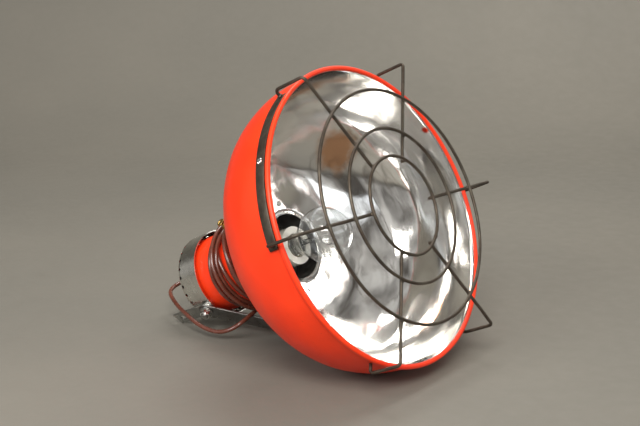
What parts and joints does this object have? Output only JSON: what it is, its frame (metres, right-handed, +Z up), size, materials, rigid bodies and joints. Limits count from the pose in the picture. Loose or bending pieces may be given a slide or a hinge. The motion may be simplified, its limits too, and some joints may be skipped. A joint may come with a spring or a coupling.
{
  "type": "heat lamp",
  "caption": "Hanging reflector heat lamp with a wire guard, a screw-in bulb, a vented rear cap, a swinging yoke and a mains lead wound on its neck",
  "frame": {"origin": "on the floor under the middle of the lamp's box, without the cord", "axes": "+Z up; the lamp opens towards -Y and tilts up; +X to the right seen from the open side's back"},
  "size_m": [0.3936, 0.4344, 0.3595],
  "materials": {
    "red_enamel": "satin enamel, sprayed",
    "bare_aluminium": "spun and polished, dulled",
    "zinc_steel": "zinc plated",
    "bright_nut": "bright plated",
    "dull_steel": "plated, dulled",
    "dark_wire": "dark oxidised wire",
    "porcelain": "glazed porcelain",
    "brass_plate": "brass, lightly tarnished",
    "lead_brown": "insulation",
    "lead_blue": "insulation",
    "black_rubber": "soft rubber",
    "black_plastic": "moulded",
    "black_glass": "black glass insulator",
    "clear_glass": "clear blown glass",
    "bulb_metal": "nickel plated",
    "tungsten": "drawn tungsten",
    "brown_cord": "glossy sheath",
    "brown_plastic": "moulded"
  },
  "bodies": {
    "lamp": {"shade": "red_enamel", "neck_housing": "red_enamel", "neck_rivets": "zinc_steel", "vent_cap": "bare_aluminium", "cap_spacers": "zinc_steel", "pivot_bolts": "zinc_steel", "pivot_washers": "zinc_steel", "pivot_nuts": "bright_nut", "chain_lug_near": "zinc_steel", "chain_lug_far": "zinc_steel", "guard_ring_inner": "dark_wire", "guard_ring_middle": "dark_wire", "guard_ring_outer": "dark_wire", "guard_spokes": "dark_wire", "guard_strap_near": "dark_wire", "guard_strap_far": "dark_wire", "strap_screws": "zinc_steel", "holder_carrier": "zinc_steel", "holder_body": "porcelain", "thread_shell": "brass_plate", "centre_contact": "brass_plate", "terminals": "brass_plate", "holder_screws": "zinc_steel", "holder_lock_screws": "brass_plate", "holder_lock_nuts": "brass_plate", "lead_live": "lead_brown", "lead_neutral": "lead_blue", "gland_body": "black_rubber", "gland_nut": "black_plastic", "strain_relief": "black_rubber", "cord_loop": "brown_cord", "cord_winding": "brown_cord", "cord_tail": "brown_cord", "plug_body": "brown_plastic", "plug_pins": "bulb_metal"},
    "yoke": {"yoke_arm_near": "dull_steel", "yoke_arm_far": "dull_steel", "yoke_bridge": "dull_steel"},
    "bulb_carrier": {"bulb_contact": "bulb_metal"},
    "bulb": {"bulb_glass": "clear_glass", "bulb_base": "bulb_metal", "bulb_insulator": "black_glass", "bulb_stem": "clear_glass", "bulb_lead_in_wires": "bulb_metal", "bulb_filament": "tungsten"}
  },
  "joints": [
    {"name": "yoke_tilt", "type": "hinge", "parent": "lamp", "child": "yoke", "pos_m": [0, 0.14402, 0.066], "axis": [0.766, 0.2788, 0.5792], "range_deg": [0, 95]},
    {"name": "bulb_out", "type": "slide", "parent": "lamp", "child": "bulb_carrier", "axis": [0, -0.9011, 0.4337], "range_m": [0, 0.0184]},
    {"name": "bulb_turn", "type": "hinge", "parent": "bulb_carrier", "child": "bulb", "pos_m": [0, -0.01997, 0.14493], "axis": [0, -0.9011, 0.4337], "range_deg": [0, 1800]}
  ],
  "couplings": [
    {"joint": "bulb_out", "follows": "bulb_turn", "m_per_rad": 0.000578}
  ]
}
